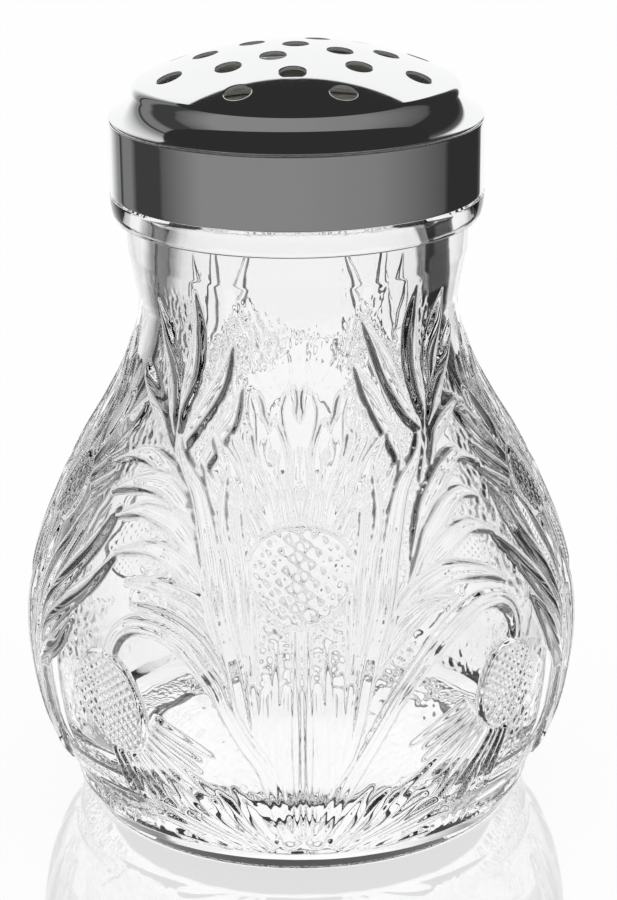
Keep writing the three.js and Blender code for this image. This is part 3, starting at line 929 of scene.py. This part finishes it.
def seal_material():
    material, tree, shader = node_material("soft_rubber", (0.67, 0.64, 0.58, 1))
    surface_detail(tree, shader, noise_node(tree, 1500.0, 4.0), (0.6, 0.8), 0.35, 0.0001)
    return material


glass = glass_material()
chrome = chrome_material()
liner_plastic = liner_material()
seal_rubber = seal_material()
shaded_inside_metal = shaded_inside_material()


def finish_piece(piece, body, node, material):
    piece.data.materials.clear()
    piece.data.materials.append(material)
    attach(piece, body)
    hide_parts(node)


finish_piece(jar_piece(), "jar", "glass_jar", glass)
dome, dome_shaded_inside = dome_piece()
finish_piece(dome, "lid", "lid_dome", chrome)
# Underside and hole walls take the dim grey finish, which paints in the shade inside the holes
dome.data.materials.append(shaded_inside_metal)
for face_number in dome_shaded_inside:
    dome.data.polygons[face_number].material_index = 1
finish_piece(band_piece(), "lid", "lid_band", chrome)


def dress_node(name, material):
    """A CAD node that stays gets a better material."""
    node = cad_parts[name]
    node.data.materials.clear()
    node.data.materials.append(material)


dress_node("threaded_liner", liner_plastic)
dress_node("sealing_ring", seal_rubber)


# Floor: the share of plain white that camera rays and rays through glass or off metal see. Glass
# and metal see the floor only where the white sheet lies, under and behind the jar.
FLOOR_RADIUS = 2500.0
FLOOR_SIDES = 160
FLOOR_GAP = 0.05
SHEET_HALF_WIDTH = 120.0
SHEET_FRONT = -110.0
FLOOR_WHITE = 0.7
FLOOR_THROUGH = 1.0
FLOOR_MIRRORED = 0.96


def math_node(tree, operation, first, second=None):
    node = add_node(tree, "ShaderNodeMath", operation=operation)
    for socket, value in zip(node.inputs, (first, second)):
        if value is None:
            continue
        if isinstance(value, (int, float)):
            socket.default_value = value
        else:
            tree.links.new(value, socket)
    return node.outputs["Value"]


def sheet_mask(tree):
    """1 on the white sheet and 0 off it."""
    place = add_node(tree, "ShaderNodeTexCoord")
    parts = add_node(tree, "ShaderNodeSeparateXYZ")
    tree.links.new(place.outputs["Object"], parts.inputs["Vector"])
    off_middle = math_node(tree, "ABSOLUTE", parts.outputs["X"])
    beside = math_node(tree, "LESS_THAN", off_middle, SHEET_HALF_WIDTH * MM)
    behind = math_node(tree, "GREATER_THAN", parts.outputs["Y"], SHEET_FRONT * MM)
    return math_node(tree, "MULTIPLY", beside, behind)


def mix_shaders(tree, share, first, second):
    mix = add_node(tree, "ShaderNodeMixShader")
    tree.links.new(share, mix.inputs["Fac"])
    tree.links.new(first, mix.inputs[1])
    tree.links.new(second, mix.inputs[2])
    return mix.outputs["Shader"]


def floor_material():
    material, tree, shader = node_material("white_table", (1.0, 1.0, 1.0, 1))
    shader.inputs["Metallic"].default_value = 0.75
    grain = noise_node(tree, 40.0, 2.0)
    tree.links.new(
        range_node(tree, grain.outputs["Fac"], 0.02, 0.08), shader.inputs["Roughness"])
    white = add_node(tree, "ShaderNodeEmission")
    path = add_node(tree, "ShaderNodeLightPath")
    seen = math_node(tree, "MULTIPLY", path.outputs["Is Camera Ray"], FLOOR_WHITE)
    through = math_node(tree, "MULTIPLY", path.outputs["Is Transmission Ray"], FLOOR_THROUGH)
    mirrored = math_node(tree, "MULTIPLY", path.outputs["Is Glossy Ray"], FLOOR_MIRRORED)
    share = math_node(tree, "MAXIMUM", math_node(tree, "MAXIMUM", seen, through), mirrored)
    table = mix_shaders(tree, share, shader.outputs["BSDF"], white.outputs["Emission"])
    there = math_node(tree, "MAXIMUM", path.outputs["Is Camera Ray"], sheet_mask(tree))
    clear = add_node(tree, "ShaderNodeBsdfTransparent")
    cut = mix_shaders(tree, there, clear.outputs["BSDF"], table)
    tree.links.new(cut, tree.nodes["Material Output"].inputs["Surface"])
    return material


def floor_piece():
    around = 2 * math.pi * np.arange(FLOOR_SIDES) / FLOOR_SIDES
    level = np.full(FLOOR_SIDES, -FLOOR_GAP / FLOOR_RADIUS)
    rim = np.stack([np.cos(around), np.sin(around), level], 1)
    floor = make_mesh("floor", rim * FLOOR_RADIUS, [list(range(FLOOR_SIDES))])
    floor.data.materials.append(floor_material())


floor_piece()


# Studio: white for camera rays and for diffuse light. Reflections and refractions see a white
# backdrop behind the table, the cards and dim room round it, and a dark ceiling and ground.
# Degrees from the camera side, and the grey there: a mid-grey room that dims to the right, a
# dark card on either side, a dark strip on the left and the white backdrop behind
ROOM_GREYS = (
    (-180, 1.0), (-157, 1.0), (-140, 0.25), (-136, 0.25), (-135, 0.05), (-133, 0.05), (-131, 0.2),
    (-120, 0.2), (-114, 0.05), (-91, 0.05), (-89, 0.1), (-60, 0.25), (0, 0.25), (50, 0.22),
    (100, 0.09), (104, 0.03), (143, 0.03), (149, 0.12), (152, 1.0),
)
CEILING_DEGREES = 43.0
CEILING_GREY = 0.028
CEILING_EDGE = 0.004
UNDER_DEGREES = 24.0
UNDER_GREY = 0.012
UNDER_EDGE = 0.03


def mix_colours(tree, share, first, second):
    """Mixes a linked colour with a second one that is plain."""
    mix = add_node(tree, "ShaderNodeMix", data_type="RGBA")
    tree.links.new(share, mix.inputs["Factor"])
    tree.links.new(first, mix.inputs["A"])
    mix.inputs["B"].default_value = (second, second, second, 1)
    return mix.outputs["Result"]


def step_node(tree, value, start, stop):
    """Rises from 0 to 1 as the value goes from start to stop."""
    step = add_node(tree, "ShaderNodeMapRange")
    step.inputs["From Min"].default_value = start
    step.inputs["From Max"].default_value = stop
    tree.links.new(value, step.inputs["Value"])
    return step.outputs["Result"]


def room_ramp(tree, turn):
    """Greys of the room for a turn from 0 to 1, which is 0.5 on the camera's side."""
    ramp = add_node(tree, "ShaderNodeValToRGB")
    stops = ramp.color_ramp.elements
    stops.remove(stops[-1])
    for i, (degrees, grey) in enumerate(ROOM_GREYS):
        place = (degrees + 180) / 360
        stop = stops[0] if i == 0 else stops.new(place)
        stop.position = place
        stop.color = (grey, grey, grey, 1)
    tree.links.new(turn, ramp.inputs["Fac"])
    return ramp.outputs["Color"]


def studio_world():
    world = bpy.data.worlds.new("studio")
    world.use_nodes = True
    bpy.context.scene.world = world
    tree = world.node_tree
    place = add_node(tree, "ShaderNodeTexCoord")
    parts = add_node(tree, "ShaderNodeSeparateXYZ")
    tree.links.new(place.outputs["Generated"], parts.inputs["Vector"])
    x, y, z = (parts.outputs[k] for k in "XYZ")
    towards = math_node(tree, "MULTIPLY", y, -1.0)
    angle = math_node(tree, "ARCTAN2", x, towards)
    turn = math_node(tree, "ADD", math_node(tree, "DIVIDE", angle, 2 * math.pi), 0.5)
    high = math.sin(math.radians(CEILING_DEGREES))
    ceiling = step_node(tree, z, high - CEILING_EDGE, high + CEILING_EDGE)
    room = mix_colours(tree, ceiling, room_ramp(tree, turn), CEILING_GREY)
    low = -math.sin(math.radians(UNDER_DEGREES))
    under = step_node(tree, z, low + UNDER_EDGE, low - UNDER_EDGE)
    room = mix_colours(tree, under, room, UNDER_GREY)
    path = add_node(tree, "ShaderNodeLightPath")
    plain = math_node(tree, "MAXIMUM", path.outputs["Is Camera Ray"],
                      path.outputs["Is Diffuse Ray"])
    background = tree.nodes["Background"]
    tree.links.new(mix_colours(tree, plain, room, 1), background.inputs["Color"])
    background.inputs["Strength"].default_value = 1.0


studio_world()

# Camera, fitted to the rims of the lid and foot in the photograph
CAMERA_DOWN_DEGREES = 19.71
CAMERA_DISTANCE = 416.34
CAMERA_AIM = 58.5
CAMERA_ROLL = -0.01
CAMERA_LENS = 100.0
CAMERA_SHIFT = 0.00979


def make_camera():
    data = bpy.data.cameras.new("camera")
    data.sensor_width = 36.0
    data.lens = CAMERA_LENS
    data.shift_x = CAMERA_SHIFT
    data.clip_start = 0.01
    data.clip_end = 50.0
    camera = bpy.data.objects.new("camera", data)
    bpy.context.scene.collection.objects.link(camera)
    down = math.radians(CAMERA_DOWN_DEGREES)
    camera.location = (
        0,
        -CAMERA_DISTANCE * math.cos(down) * MM,
        (CAMERA_AIM + CAMERA_DISTANCE * math.sin(down)) * MM,
    )
    tilt = Matrix.Rotation(math.pi / 2 - down, 4, "X")
    camera.rotation_euler = (tilt @ Matrix.Rotation(CAMERA_ROLL, 4, "Z")).to_euler()
    bpy.context.scene.camera = camera


make_camera()

bpy.context.scene.view_settings.view_transform = "Standard"
